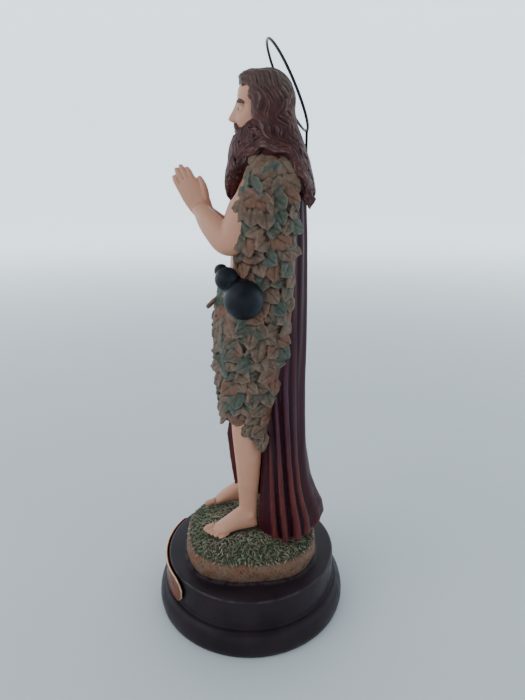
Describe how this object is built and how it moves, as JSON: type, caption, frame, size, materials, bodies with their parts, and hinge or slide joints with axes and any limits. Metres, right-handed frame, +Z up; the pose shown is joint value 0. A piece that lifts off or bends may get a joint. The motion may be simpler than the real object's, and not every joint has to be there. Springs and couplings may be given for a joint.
{
  "type": "saint onuphrius statue",
  "caption": "Painted resin statue of a bearded hermit saint in leaves and a long cloak, hands joined in prayer, on a grassy mound on a round black plinth, with a wire halo.",
  "frame": {"origin": "centre of the plinth's underside", "axes": "+Z up; the figure faces -Y, and its own left side, with the gourd, is towards +X"},
  "size_m": [0.076, 0.076, 0.2071],
  "materials": {
    "black_lacquer": "black satin lacquer on turned wood",
    "brass_plate": "thin brass sheet, lacquered",
    "painted_resin": "cast resin, hand painted and washed, satin to matt",
    "halo_wire": "blackened drawn wire"
  },
  "bodies": {
    "root": {"plinth": "black_lacquer", "name_plate": "brass_plate", "figure": "painted_resin", "halo": "halo_wire"}
  },
  "joints": []
}
